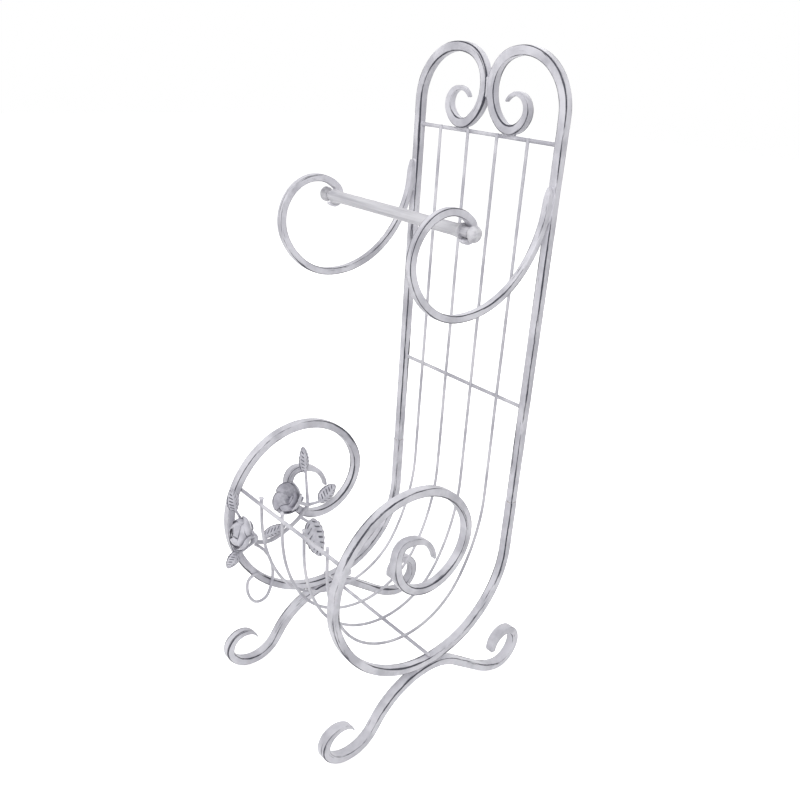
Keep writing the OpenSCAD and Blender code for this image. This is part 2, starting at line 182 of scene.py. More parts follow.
# Geometry Nodes: a section swept along a path, drawn down at forged ends, with light hammer marks
def makeSweepTree():
    tree, given = newTree("forgedSweep", {
        "Section": "Object", "Hammer depth": "Float", "Hammer size": "Float", "Seed": "Float"})
    path = addNode(tree, "GeometryNodeMeshToCurve", {0: given["Geometry"]})
    position = addNode(tree, "GeometryNodeInputPosition", {})
    kept = addNode(tree, "GeometryNodeStoreNamedAttribute",
                   {"Geometry": path, "Name": "centre", "Value": position}, data_type="FLOAT_VECTOR")
    section = addNode(tree, "GeometryNodeObjectInfo", {"Object": given["Section"]}, "Geometry")
    outline = addNode(tree, "GeometryNodeMeshToCurve", {0: section})
    sweep = addNode(tree, "GeometryNodeCurveToMesh",
                    {"Curve": kept, "Profile Curve": outline, "Fill Caps": True})

    # each point goes to centre + side * u * thin + face * w * wide
    def offset(way, share, size):
        amount = product(tree, namedValue(tree, share), namedValue(tree, size))
        return scaleVector(tree, namedValue(tree, way, "FLOAT_VECTOR"), amount)

    off = vectorNode(tree, "ADD", offset("side", "sectionU", "thin"), offset("face", "sectionW", "wide"))
    place = vectorNode(tree, "ADD", namedValue(tree, "centre", "FLOAT_VECTOR"), off)
    marks = addNode(tree, "ShaderNodeTexNoise", {
        "Vector": place, "W": given["Seed"], "Scale": mathNode(tree, "DIVIDE", 1.0, given["Hammer size"]),
        "Detail": forge["hammerDetail"]}, "Fac", noise_dimensions="4D")
    depth = product(tree, mathNode(tree, "SUBTRACT", marks, 0.5), given["Hammer depth"])
    dent = scaleVector(tree, vectorNode(tree, "NORMALIZE", off), depth)
    moved = addNode(tree, "GeometryNodeSetPosition",
                    {"Geometry": sweep, "Position": vectorNode(tree, "ADD", place, dent)})
    return finishTree(tree, moved, given["Material"])


def newObject(name, data):
    data.name = name
    made = bpy.data.objects.new(name, data)
    bpy.context.scene.collection.objects.link(made)
    return made


# runs a node tree on an object and keeps the result as a plain mesh
def plainMesh(obj, tree, values, name):
    modifier = obj.modifiers.new("make", "NODES")
    modifier.node_group = tree
    sockets = {s.name: s.identifier for s in tree.interface.items_tree if s.in_out == "INPUT"}
    for label, value in values.items():
        modifier[sockets[label]] = value
    graph = bpy.context.evaluated_depsgraph_get()
    mesh = bpy.data.meshes.new_from_object(
        obj.evaluated_get(graph), preserve_all_data_layers=True, depsgraph=graph)
    bpy.data.objects.remove(obj)
    return newObject(name, mesh)


# numbers or vectors on a mesh's points, under a name that node trees read
def setValues(mesh, label, values):
    values = np.array(values, np.float32)
    kind, field = ("FLOAT", "value") if values.ndim == 1 else ("FLOAT_VECTOR", "vector")
    mesh.attributes.new(label, kind, "POINT").data.foreach_set(field, values.ravel())


def closeAndSmooth(mesh, sharpAngle=None):
    shape = bmesh.new()
    shape.from_mesh(mesh)
    bmesh.ops.remove_doubles(shape, verts=shape.verts, dist=1e-7)
    bmesh.ops.recalc_face_normals(shape, faces=shape.faces)
    for face in shape.faces:
        face.smooth = True
    if sharpAngle:
        for edge in shape.edges:
            if len(edge.link_faces) == 2 and edge.calc_face_angle(0) > radians(sharpAngle):
                edge.smooth = False
    shape.to_mesh(mesh)
    shape.free()


# a store gathers the points, faces and marks of a mesh that formulas build: patina, and on rose petals also
# painted shade
def newStore():
    return {"points": [], "faces": [], "marks": []}


def storePoint(store, point, mark):
    store["points"].append(tuple(point))
    store["marks"].append(mark)


def storePiece(name, store, material, sharpAngle=60):
    mesh = bpy.data.meshes.new(name)
    mesh.from_pydata(store["points"], [], store["faces"])
    setValues(mesh, "patinaAndShade", store["marks"])
    mesh.materials.append(material)
    closeAndSmooth(mesh, sharpAngle)
    return newObject(name, mesh)


# skins rings of points, the first at index start, and caps both ends
def skinTube(store, start, rings, sides):
    for i in range(rings - 1):
        for k in range(sides):
            a, b = start + i * sides + k, start + i * sides + (k + 1) % sides
            store["faces"].append((a, b, b + sides, a + sides))
    first = tuple(range(start, start + sides))
    store["faces"] += [first[::-1], tuple(k + (rings - 1) * sides for k in first)]


def lineObject(name, points, values, closed=False):
    mesh = bpy.data.meshes.new(name)
    count = len(points)
    edges = [(i, (i + 1) % count) for i in range(count if closed else count - 1)]
    mesh.from_pydata([tuple(p) for p in points], edges, [])
    for label, numbers in values.items():
        setValues(mesh, label, numbers)
    return newObject(name, mesh)


# the bar's section: flat faces, rounded corners marked for the rubbed paint
section = {
    "cornerShare": 0.3, "cornerSteps": 6, "roundSides": 14, "rubWidth": 0.55,
    "flatAt": (-0.62, 0.0, 0.62), "flatRub": (0.22, 0.0, 0.22),
}


def squareSection():
    points, marks = [], []
    corner, steps = section["cornerShare"], section["cornerSteps"]
    for base in (0, 90, 180, 270):
        inner = heading(base + 45) * sqrt(2) * (1 - corner)
        for k in range(steps + 1):
            points.append(inner + corner * heading(base + 90 * k / steps))
            marks.append(exp(-((k / steps - 0.5) / section["rubWidth"]) ** 2))
        across = heading(base + 90)
        along = np.array([-across[1], across[0]])
        for share, mark in zip(section["flatAt"], section["flatRub"]):
            points.append(across + along * share * (1 - corner))
            marks.append(mark)
    return points, marks


def roundSection():
    turns = circle(section["roundSides"])
    return [np.array([cos(a), sin(a)]) for a in turns], [0.0] * len(turns)


def sectionObject(name, points, marks):
    values = {"sectionU": [p[0] for p in points], "sectionW": [p[1] for p in points], "corner": marks}
    return lineObject(name, [(p[0], p[1], 0) for p in points], values, closed=True)


# ends drawn down and rounded, hammer marks, and how far the rubbed corners fade toward a drawn end
forge = {
    "widenPower": 0.35, "roundEnd": 0.9, "capSteps": 4, "capWide": 0.55,
    "hammerSize": 0.012, "hammerDetail": 1.5, "fadeLength": 0.05, "fadeLow": 0.45,
    "seedShift": 0.41, "wobbleSize": 14,
}
squareLine = sectionObject("squareSection", *squareSection())
roundLine = sectionObject("roundSection", *roundSection())
sweepTree = makeSweepTree()


# a bar or wire along a path; taper is the length over which each end is drawn down, 0 for a cut end,
# and tips are the shares of the thickness that are left there
def sweepPiece(name, places, plane, size, material, taper=(0, 0), tips=(0.3, 0.3), square=True,
               hammer=0.00022, seed=0.0, wobble=0.0, broad=1.0, wear=1.0):
    half = size / 2
    steps = [np.linalg.norm(b[0] - a[0]) for a, b in zip(places, places[1:])]
    runs = np.concatenate([[0], np.cumsum(steps)])
    total = runs[-1]

    def drawn(distance, length, low):
        if length == 0 or distance >= length:
            return 1.0
        return low + (1 - low) * sin(pi / 2 * distance / length)

    def rubAt(s):
        near = [d / forge["fadeLength"] for d, length in ((s, taper[0]), (total - s, taper[1])) if length]
        return forge["fadeLow"] + (1 - forge["fadeLow"]) * min(near + [1.0])

    rows = []
    for (p, h), s in zip(places, runs):
        thin = half * min(drawn(s, taper[0], tips[0]), drawn(total - s, taper[1], tips[1]))
        wide = half * broad * (thin / half) ** forge["widenPower"]
        rows.append((p, h, thin, wide, s))
    for end in (0, 1):
        if taper[end] == 0:
            continue
        p, h, thin, wide, s = rows[-end]
        out = heading(h) * (1 if end else -1)
        caps = []
        for k in range(1, forge["capSteps"] + 1):
            share = forge["roundEnd"] * k / forge["capSteps"]
            shrink = sqrt(1 - share ** 2)
            capWide = wide * (forge["capWide"] + (1 - forge["capWide"]) * shrink)
            caps.append((p + out * thin * share, h, thin * shrink, capWide, s))
        rows = rows + caps if end else caps[::-1] + rows
    origin = plane(np.zeros(2))
    faceWay = (plane(np.array([1.0, 0])) - origin).cross(plane(np.array([0, 1.0])) - origin)
    centres = []
    for p, *rest in rows:
        spot = Vector((p[0] * forge["wobbleSize"], p[1] * forge["wobbleSize"], seed))
        centres.append(plane(p) + faceWay * (wobble * noise.noise(spot)))
    line = lineObject(name + "Line", centres, {
        "thin": [r[2] for r in rows], "wide": [r[3] for r in rows],
        "along": [r[4] + seed * forge["seedShift"] for r in rows],
        "worn": [rubAt(r[4]) * wear for r in rows],
        "side": [plane(leftOf(r[1])) - origin for r in rows], "face": [faceWay] * len(rows)})
    piece = plainMesh(line, sweepTree, {
        "Section": squareLine if square else roundLine, "Hammer depth": hammer,
        "Hammer size": forge["hammerSize"], "Seed": seed, "Material": material}, name)
    closeAndSmooth(piece.data)
    return piece


# colours are written as they are seen and turned into the renderer's linear values
def seen(r, g, b):
    def linear(c):
        c /= 255
        return c / 12.92 if c <= 0.04045 else ((c + 0.055) / 1.055) ** 2.4
    return (linear(r), linear(g), linear(b), 1.0)


paint = {
    "bar": (seen(214, 213, 220), seen(178, 177, 185)), "rod": (seen(205, 204, 209), seen(172, 171, 178)),
    "leaf": (seen(206, 205, 213), seen(180, 179, 188)), "wire": (seen(210, 209, 215), seen(172, 171, 180)),
    # patina is the dark ground that shows through the paint; the same colour is also the painted shade
    # inside the roses
    "graphite": seen(52, 52, 64), "patinaAndShade": seen(66, 66, 80), "scorch": seen(132, 118, 104),
    "roughness": 0.42, "darkRoughness": 0.55, "grain": 0.06, "grainDepth": 0.0004, "grainNoise": (520, 2.0),
}
# rubbed bars: clouds and specks by scale, detail and roughness, streaks and regions by scale along and
# across, detail and roughness, how much corner, streak and region mix into a mark, and where it turns dark
barWear = {
    "cloudNoise": (34, 4.0), "clouds": (0.35, 0.68), "speckNoise": (260, 3.0, 0.7), "specks": (0.73, 0.79),
    "speckDark": 0.5, "streaks": (60.0, 4.5, 4.0, 0.7), "regions": (13.0, 1.2, 2.0, 0.5),
    "lineMix": (0.9, 1.6, 2.6), "line": (0.55, 0.86),
    "smearMix": (0.75, 2.2, 3.2), "smear": (0.62, 1.0), "smearDark": 0.68,
}
wireWear = {
    **barWear, "regions": (16.0, 1.2, 2.0, 0.5), "lineMix": (0.9, 1.4, 1.2), "line": (0.3, 0.5),
    "smearMix": (0.75, 1.8, 2.2), "smear": (0.4, 0.7), "smearDark": 0.5,
}
# painted castings: the scale of the clouds along x, y and z, and where the dark ground shows through, as
# patina and inside the roses also as painted shade
castLook = {"scale": (120, 120, 120), "clouds": (0.35, 0.7), "grain": 420, "shake": 0.5, "from": (0.3, 1.0)}
rodLook = {"scale": (9, 260, 260), "clouds": (0.4, 0.72), "grain": 260, "shake": 1.5, "from": (0.5, 0.8)}


def newMaterial(name):
    material = bpy.data.materials.new(name)
    material.use_nodes = True
    tree = material.node_tree
    tree.nodes.clear()
    shader = tree.nodes.new("ShaderNodeBsdfPrincipled")
    feedNode(tree, tree.nodes.new("ShaderNodeOutputMaterial"), {"Surface": shader.outputs[0]})
    return material, tree, shader, addNode(tree, "ShaderNodeTexCoord", {}, "Object")


def attributeValue(tree, name):
    return addNode(tree, "ShaderNodeAttribute", {}, "Fac", attribute_name=name)


def noiseValue(tree, vector, scale, detail=3.0, roughness=0.55):
    inputs = {"Vector": vector, "Scale": scale, "Detail": detail, "Roughness": roughness}
    return addNode(tree, "ShaderNodeTexNoise", inputs, "Fac")


def evenNoise(tree, *noiseInputs):
    return mathNode(tree, "SUBTRACT", noiseValue(tree, *noiseInputs), 0.5)


def softStep(tree, value, low, high):
    return addNode(tree, "ShaderNodeMapRange", {"Value": value, "From Min": low, "From Max": high},
                   "Result", interpolation_type="SMOOTHSTEP")


def mixColour(tree, amount, a, b):
    return addNode(tree, "ShaderNodeMix", {"Factor": amount, 6: a, 7: b}, 2, data_type="RGBA")


def finishPaint(tree, shader, coords, colour, dark, under):
    rough = addNode(tree, "ShaderNodeMapRange", {
        "Value": dark, "To Min": paint["roughness"], "To Max": paint["darkRoughness"]}, "Result")
    grain = noiseValue(tree, coords, *paint["grainNoise"])
    normal = addNode(tree, "ShaderNodeBump", {
        "Strength": paint["grain"], "Distance": paint["grainDepth"], "Height": grain}, "Normal")
    colour = mixColour(tree, dark, colour, under)
    feedNode(tree, shader, {"Base Color": colour, "Roughness": rough, "Normal": normal})


# paint clouded between two tones, rubbed to graphite along the corners, with streaks and smudges beside
def wornBarPaint(name, tones, rub):
    material, tree, shader, coords = newMaterial(name)
    clouds = softStep(tree, noiseValue(tree, coords, *rub["cloudNoise"]), *rub["clouds"])

    def barNoise(run, across, detail, roughness):
        scales = (("along", run), ("sectionU", across), ("sectionW", across))
        spot = [product(tree, attributeValue(tree, label), scale) for label, scale in scales]
        place = addNode(tree, "ShaderNodeCombineXYZ", dict(zip("XYZ", spot)))
        return evenNoise(tree, place, 1.0, detail, roughness)

    def mixed(mark):
        total = 0.0
        for value, weight in zip((corner, streaks, regions), rub[mark + "Mix"]):
            total = mathNode(tree, "ADD", product(tree, value, weight), total)
        return softStep(tree, total, *rub[mark])

    streaks, regions = barNoise(*rub["streaks"]), barNoise(*rub["regions"])
    corner = product(tree, attributeValue(tree, "corner"), attributeValue(tree, "worn"))
    line, smear = mixed("line"), mixed("smear")
    specks = softStep(tree, noiseValue(tree, coords, *rub["speckNoise"]), *rub["specks"])
    dark = mathNode(tree, "MAXIMUM", line, product(tree, smear, rub["smearDark"]))
    dark = mathNode(tree, "MAXIMUM", dark, product(tree, specks, rub["speckDark"]))
    finishPaint(tree, shader, coords, mixColour(tree, clouds, *tones), dark, paint["graphite"])
    return material


# cast pieces and the rod: the dark ground shows where the marks attribute says, broken up by noise; it is
# patina, and in the rose hollows also painted shade
def patinaAndShadePaint(name, tones, look, under):
    material, tree, shader, coords = newMaterial(name)
    place = addNode(tree, "ShaderNodeMapping", {"Vector": coords, "Scale": look["scale"]})
    clouds = softStep(tree, noiseValue(tree, place, 1.0), *look["clouds"])
    shaken = product(tree, evenNoise(tree, coords, look["grain"]), look["shake"])
    held = mathNode(tree, "ADD", attributeValue(tree, "patinaAndShade"), shaken)
    colour = mixColour(tree, clouds, *tones)
    finishPaint(tree, shader, coords, colour, softStep(tree, held, *look["from"]), paint[under])
    return material


barPaint = wornBarPaint("paint_frame", paint["bar"], barWear)
wirePaint = wornBarPaint("paint_wire", paint["wire"], wireWear)
vinePaint = wornBarPaint("paint_vine", paint["wire"], wireWear)
rodMaterial = patinaAndShadePaint("paint_rod", paint["rod"], rodLook, "graphite")
# the roses' dark ground is patina and, in the hollows of the bowls, painted shade
rosePaint = patinaAndShadePaint("paint_rose", paint["leaf"], castLook, "patinaAndShade")
leafPaint = patinaAndShadePaint("paint_leaf", paint["leaf"], castLook, "patinaAndShade")
weldPaint = patinaAndShadePaint("paint_weld", paint["bar"], {**castLook, "grain": 300}, "scorch")
print("materials made")


# top arches, side spirals and arms as rows of radius and turn, in shares of their own leading size
scrolls = {
    "spiral": [(0.243, 0), (0.424, -73), (0.485, -17), (0.485, -22), (0.597, -47.5), (0.4, -68.5),
               (0.35, -107), (0.204, -93), (0.194, -125), (0.047, -76), (0.161, -80)],
    "arch": [(0.54, -109), (0.312, -55), (0.4, -70), (0.205, -102), (0.149, -173)], "archStep": 0.02,
    "arm": [(0.846, -21.4), (0.961, -72.5), (0.646, -62.4), (0.38, -155)],
    "armRing": 0.0925, "armLead": 0.01, "armTop": 0.104,
    "hookEase": (0.0105, -48.5), "hookTurn": -122, "hookRoom": 0.0043,
}
feet = {
    "crestFront": (0.0768, 56), "crestBack": (0.0633, 36.4), "flow": (0.0857, 21.9), "flat": 0.0003,
    "frontScroll": (0.0325, 60), "frontCurl": (0.016, -120), "frontTip": (0.019, -70),
    "backScroll": (0.0224, 143.6), "backCurl": (0.0167, 130),
}
# how the ends of each bar are drawn down, and how much broader or more worn it is than its stock
bars = {
    "upright": {"taper": (0, 0.06), "tips": (1, 0.2), "wear": 1.12},
    "spiral": {"taper": (0, 0.07), "broad": 1.12},
    "foot": {"taper": (0.045, 0.0225), "tips": (0.14, 0.75), "broad": 1.32},
    "arm": {"taper": (0.012, 0.012)},
}


def archPath():
    span = sideX - halfBar - seam / 2
    unit = runPath((0, 0), 90, scrolls["arch"], scrolls["archStep"])
    size = span / max(p[0] for p, h in unit)
    curl = runPath((0, 0), 90, scaledRows(scrolls["arch"], size))
    startZ = archTop - halfBar - max(p[1] for p, h in curl)
    foot = (-sideX, weldZ + seam)
    straight = runPath(foot, 90, [(startZ - foot[1], 0)], stand["straightStep"])
    return straight[:-1] + movedPath(curl, (-sideX, startZ))


def spiralPath():
    raw = runPath((0, 0), -90, scaledRows(scrolls["spiral"], reach))
    low = min(p[1] for p, h in raw)
    return movedPath(raw, (uprightY, spiralFloor - low))


# a foot runs out from its crest to both sides, and its slopes end where the scrolls meet the floor
def footPath():
    drop = crestZ - halfBar + feet["flat"]
    (frontR, frontTurn), (backR, backTurn) = feet["crestFront"], feet["crestBack"]
    (scrollR, scrollTurn), (backScrollR, backScrollTurn) = feet["frontScroll"], feet["backScroll"]
    flowR, flowTurn = feet["flow"]
    fa, ba, la = (radians(a) for a in (frontTurn, backTurn, backTurn - flowTurn))
    frontSlope = (drop - (frontR + scrollR) * (1 - cos(fa))) / sin(fa)
    backRest = backR * (1 - cos(ba)) + flowR * (cos(la) - cos(ba)) + backScrollR * (1 - cos(la))
    backSlope = (drop - backRest) / sin(ba)
    front = runPath((0, crestZ), 180, [
        (frontR, frontTurn), (frontSlope, 0), (scrollR, -frontTurn - scrollTurn),
        feet["frontCurl"], feet["frontTip"]])
    back = runPath((0, crestZ), 0, [
        (backR, -backTurn), (backSlope, 0), (flowR, flowTurn),
        (backScrollR, backTurn - flowTurn + backScrollTurn), feet["backCurl"]])
    whole = [(p, h + 180) for p, h in front[::-1]] + back[1:]
    shift = footBack - halfBar - max(p[0] for p, h in whole)
    return movedPath(whole, (shift, 0)), shift


def armPath():
    start = (uprightY - halfBar - halfArm - seam, archTop - scrolls["armTop"])
    rows = [(scrolls["armLead"], 0)] + scaledRows(scrolls["arm"], scrolls["armRing"]) \
        + [scrolls["hookEase"], (scrolls["hookRoom"] + halfArm, scrolls["hookTurn"])]
    return runPath(start, -90, rows)


arch = archPath()
foot, crestY = footPath()
barPaths = {"upright": arch, "spiral": spiralPath(), "foot": foot, "arm": armPath()}
for second, (side, sign) in enumerate(bothSides):
    for index, (kind, look) in enumerate(bars.items()):
        places, plane = barPaths[kind], sidePlane(sign * sideX)
        if kind == "upright":
            places, plane = arch if sign < 0 else mirroredPath(arch), backPlane(uprightY)
        size = armBar if kind == "arm" else barSize
        piece = sweepPiece(f"{kind}_{side}_bar", places, plane, size, barPaint,
                           seed=second + 1 + 2 * index, **look)
        if kind == "foot":
            for vertex in piece.data.vertices:
                vertex.co.z = max(vertex.co.z, 0.0)
        addPiece(piece, f"{kind}_{side}")
print("bars made")


# crossbars and basket wires; a wire carries a little more paint than its solid
wires = {
    "cross": centreOf("crossbar_top")[1][2], "wire": centreOf("wire_a")[1][0] + 0.0003,
    "backR": 0.08, "frontR": 0.096, "bend": 30, "step": 0.005, "poke": 0.003, "topPoke": 0.0004,
    "crossSteps": 40, "crossLook": {"hammer": 0.00025, "wobble": 0.0004},
    "wireLook": {"hammer": 0.00015, "wobble": 0.0003},
}
crossbars = ("crossbar_top", "crossbar_mid", "crossbar_low", "crossbar_front")
wireX = {letter: centreOf("wire_" + letter)[0][0] for letter in "abcd"}
topBar, midBar, lowBar, frontBar = (centreOf(name)[0] for name in crossbars)
touch = wires["cross"] / 2


def wirePath():
    gap = touch + wires["wire"] / 2 + seam
    backY, lowZ, frontY = uprightY - gap, lowBar[2] + gap, frontBar[1] + gap
    angle, backR, frontR = wires["bend"], wires["backR"], wires["frontR"]
    bend = radians(angle)

    def longR(run, radius):
        return (run - radius * cos(bend)) / (1 - cos(bend))

    backLong, frontLong = longR(backY - lowBar[1], backR), longR(lowBar[1] - frontY, frontR)
    drop = backLong * sin(bend) + backR * (1 - sin(bend))
    rise = frontLong * sin(bend) + frontR * (1 - sin(bend))
    topZ, tipZ = topBar[2] + touch + wires["topPoke"], frontBar[2] + touch + wires["poke"]
    return runPath((backY, topZ), -90, [
        (topZ - lowZ - drop, 0), (backLong, -angle), (backR, angle - 90),
        (frontR, angle - 90), (frontLong, -angle), (tipZ - lowZ - rise, 0)], wires["step"])


for seed, name in enumerate(crossbars):
    centre, size = centreOf(name)
    places = [(np.array([s * size[0] / 2, centre[2]]), 0) for s in np.linspace(-1, 1, wires["crossSteps"])]
    piece = sweepPiece(name + "_rod", places, backPlane(centre[1]), wires["cross"], wirePaint, square=False,
                       seed=seed + 11, **wires["crossLook"])
    addPiece(piece, name)
for seed, (letter, x) in enumerate(wireX.items()):
    piece = sweepPiece(f"wire_{letter}_bent", wirePath(), sidePlane(x), wires["wire"], wirePaint,
                       square=False, seed=seed + 21, **wires["wireLook"])
    addPiece(piece, "wire_" + letter)

# the vine's places are shares of the basket's reach
vineX = centreOf("vine_stem")[0][0]
vine = {
    "stem": 0.0044, "start": (-0.8738, 0.4034), "angle": -37.7,
    "rows": [(0.1346, 53), (0.4133, 17.6), (0.1983, 25)], "hammer": 0.0004,
    "tendril": 0.0031, "curlStart": (-0.8713, 0.3835), "curlAngle": -38, "curlHammer": 0.0002,
    "curlRows": [(0.2408, -79), (0.0502, -114), (0.1378, -48.6), (0.0396, -58.4), (0.0468, -44.8)],
}


def inSpiral(shares):
    return uprightY + shares[0] * reach, spiralFloor + shares[1] * reach


def onVine(shares):
    y, z = inSpiral(shares[1:])
    return Vector((vineX + shares[0] * reach, y, z))


stemPath = runPath(inSpiral(vine["start"]), vine["angle"], scaledRows(vine["rows"], reach))
curlPath = runPath(inSpiral(vine["curlStart"]), vine["curlAngle"], scaledRows(vine["curlRows"], reach))
for name, node, places, size, hammer, seed in (
        ("vine_wire", "vine_stem", stemPath, vine["stem"], vine["hammer"], 31),
        ("tendril_wire", "tendril", curlPath, vine["tendril"], vine["curlHammer"], 32)):
    piece = sweepPiece(name, places, sidePlane(vineX), size, vinePaint, square=False,
                       hammer=hammer, seed=seed)
    addPiece(piece, node)
print("wires and vine made")


# lift-out rod: one turned shaft with a flare, a waist for the hook and a hammered ball at each end
rod = {
    "shaft": 0.005, "collar": 0.0065, "waist": 0.004, "fitGap": 0.0003, "waistRoom": 0.0012, "sides": 48,
    "flare": 0.01, "flareSteps": 12, "flarePower": 1.6, "lip": 0.94, "lipStep": 0.0001, "shaftSteps": 60,
    "ball": 0.0065, "ballFlat": 0.8, "ballSteps": 24, "ballSeat": 0.003, "ballFoot": 0.0029,
    "ballPoint": 0.0002, "ballDark": 0.6, "ballFade": 0.0034, "dentScale": 240, "dentFrom": 0.0005,
    "shaftDents": 0.03, "ballDents": 0.05, "flareDark": 0.15, "lipDark": 0.3, "plainRoom": 1.3, "sharp": 40,
    "waistDark": ((0.2, 0.42), (0.5, 0.42), (0.8, 0.42), (1, 0.6)), "waistRoot": 0.5,
}
waistIn, waistOut = sideX - halfArm - rod["fitGap"], sideX + halfArm + rod["waistRoom"]
rodCentre = centreOf("rod_shaft")[0]


def lathe(name, profile, rough, seed):
    store, sides = newStore(), rod["sides"]
    for x, radius, mark in profile:
        for a in circle(sides):
            p = Vector((x, cos(a) * radius, sin(a) * radius))
            dent = noise.noise(p * rod["dentScale"] + Vector((seed, 0, 0)))
            bump = 1 + rough * dent if radius > rod["dentFrom"] else 1
            storePoint(store, rodCentre + np.array((p.x, p.y * bump, p.z * bump)), mark)
    skinTube(store, 0, len(profile), sides)
    return storePiece(name, store, rodMaterial, rod["sharp"])


# profiles are rows of place along the rod, radius and patina
def shaftProfile():
    half, steps = [], rod["flareSteps"]
    for k in range(steps + 1):
        share = k / steps
        radius = rod["shaft"] + (rod["collar"] - rod["shaft"]) * share ** rod["flarePower"]
        half.append((waistIn - rod["flare"] * (1 - share), radius, rod["flareDark"] * share))
    half += [(waistIn, rod["collar"] * rod["lip"], rod["lipDark"]),
             (waistIn + rod["lipStep"], rod["waist"], rod["waistRoot"])]
    half += [(waistIn + (waistOut - waistIn) * s, rod["waist"], dark) for s, dark in rod["waistDark"]]
    ends = waistIn - rod["plainRoom"] * rod["flare"]
    middle = [(x, rod["shaft"], 0.0) for x in np.linspace(-1, 1, rod["shaftSteps"]) * ends]
    return [(-x, r, m) for x, r, m in half[::-1]] + middle + half


def ballProfile(sign):
    centre = waistOut + sqrt(rod["ball"] ** 2 - rod["ballSeat"] ** 2) * rod["ballFlat"]
    rows = [(sign * waistOut, rod["ballFoot"], rod["ballDark"])]
    for k in range(rod["ballSteps"] + 1):
        a = pi * k / rod["ballSteps"]
        x = centre - rod["ball"] * rod["ballFlat"] * cos(a)
        if x > waistOut:
            rows.append((sign * x, max(rod["ballPoint"], rod["ball"] * sin(a)),
                         max(0.0, rod["ballDark"] - (x - waistOut) / rod["ballFade"])))
    return rows


addPiece(lathe("rod_turned", shaftProfile(), rod["shaftDents"], 4), "rod_shaft", "rod")
for side, sign in bothSides:
    ball = lathe(f"ball_{side}_cast", ballProfile(sign), rod["ballDents"], sign * 9)
    addPiece(ball, "ball_" + side, "rod")
print("rod made")


# sheets with two skins and a rim; place(u, v) gives a point, its outward way, the half thickness
# and the marks of the upper and the lower skin, which are patina and on rose petals also painted shade
def sheetMesh(place, across, along, store):
    start = len(store["points"])
    rows = [[place(i / across, j / along) for j in range(along + 1)] for i in range(across + 1)]
    for lower, sign in enumerate((1, -1)):
        for row in rows:
            for point, way, half, marks in row:
                storePoint(store, point + way * half * sign, marks[lower])
    wide = along + 1
    skin = wide * (across + 1)

    def at(i, j, lower):
        return start + lower * skin + i * wide + j

    for i in range(across):
        for j in range(along):
            store["faces"].append((at(i, j, 0), at(i + 1, j, 0), at(i + 1, j + 1, 0), at(i, j + 1, 0)))
            store["faces"].append((at(i, j, 1), at(i, j + 1, 1), at(i + 1, j + 1, 1), at(i + 1, j, 1)))
    rim = [(i, 0) for i in range(across)] + [(across, j) for j in range(along)] \
        + [(i, along) for i in range(across, 0, -1)] + [(0, j) for j in range(along, 0, -1)]
    for a, b in zip(rim, rim[1:] + rim[:1]):
        store["faces"].append((at(*a, 0), at(*a, 1), at(*b, 1), at(*b, 0)))


# half the thickness of a sheet that thins toward its edge, at edge = 1
def thinned(thick, least, edge):
    return thick / 2 * (least + (1 - least) * sqrt(max(0.0, 1 - edge ** 6)))


def tubeInto(store, points, radii, sides, mark=0.0):
    start = len(store["points"])
    for index, (p, radius) in enumerate(zip(points, radii)):
        ahead = points[min(index + 1, len(points) - 1)] - points[max(index - 1, 0)]
        ahead.normalize()
        sideWay = ahead.cross(Vector((0.3, 0.2, 0.93))).normalized()  # no tube runs along this way
        upWay = ahead.cross(sideWay)
        for a in circle(sides):
            storePoint(store, p + (sideWay * cos(a) + upWay * sin(a)) * radius, mark)
    skinTube(store, start, len(points), sides)


# roses: rings of cupped petals round an axis, the inner ones closed further. A ring is (turns, base, rim,
# rise, spread, bowl, lip): bowl is the angle that a petal's wall turns through from root to rim, spread is
# half its angle round the axis, and the rest are shares of the radius
rose = {
    "radius": 0.016, "petal": 0.0011, "across": 18, "along": 18, "shoulder": 0.55, "round": 0.74,
    "overlap": 0.05, "sag": 0.1, "thinRim": 0.35, "lift": 0.03, "liftStep": 0.02,
    # fringe darkens the petals' sides and rims, rootDark and rootFade darken the outer skin toward the
    # root, and depth and hollow paint shade with the patina inside the bowl, darker toward its bottom
    "fringeSide": 0.86, "fringeRim": 0.9, "fringe": 10, "rootDark": 0.8, "rootFade": 2.0, "depth": 0.9,
    "hollow": 0.62, "slopeStep": 0.01, "chipLeast": 0.75, "chipShake": 1.1, "chipScale": 130,
    "low": {"at": (0.075, -0.947, 0.506), "tilt": 18, "swing": -17, "sink": 0.0, "rings": [
        ((-30, 70, 160, 250), 0.14, 0.98, 0.66, 56, 106, 0.04),
        ((15, 130, 245), 0.12, 0.88, 0.9, 66, 126, 0.0),
        ((-65, 60, 180), 0.1, 0.74, 1.1, 72, 160, 0.0),
        ((0, 120, 240), 0.08, 0.44, 1.02, 76, 166, 0.0),
    ]},
    "high": {"at": (0.0544, -0.7088, 0.5895), "tilt": 35, "swing": 5, "sink": 0.0035, "rings": [
        ((0, 72, 144, 216, 288), 0.16, 0.96, 0.8, 46, 96, 0.08),
        ((290,), 0.14, 0.8, 0.7, 56, 96, 0.06),
        ((5,), 0.1, 0.52, 0.74, 72, 112, 0.0),
    ]},
}


def roseFrame(spot):
    tilt, swing = (radians(spot[k]) for k in ("tilt", "swing"))
    turned = Matrix.Rotation(swing, 4, "Z") @ Matrix.Rotation(pi / 2 - tilt, 4, "X")
    return Matrix.Translation(onVine(spot["at"])) @ turned @ Matrix.Translation((0, 0, -spot["sink"]))


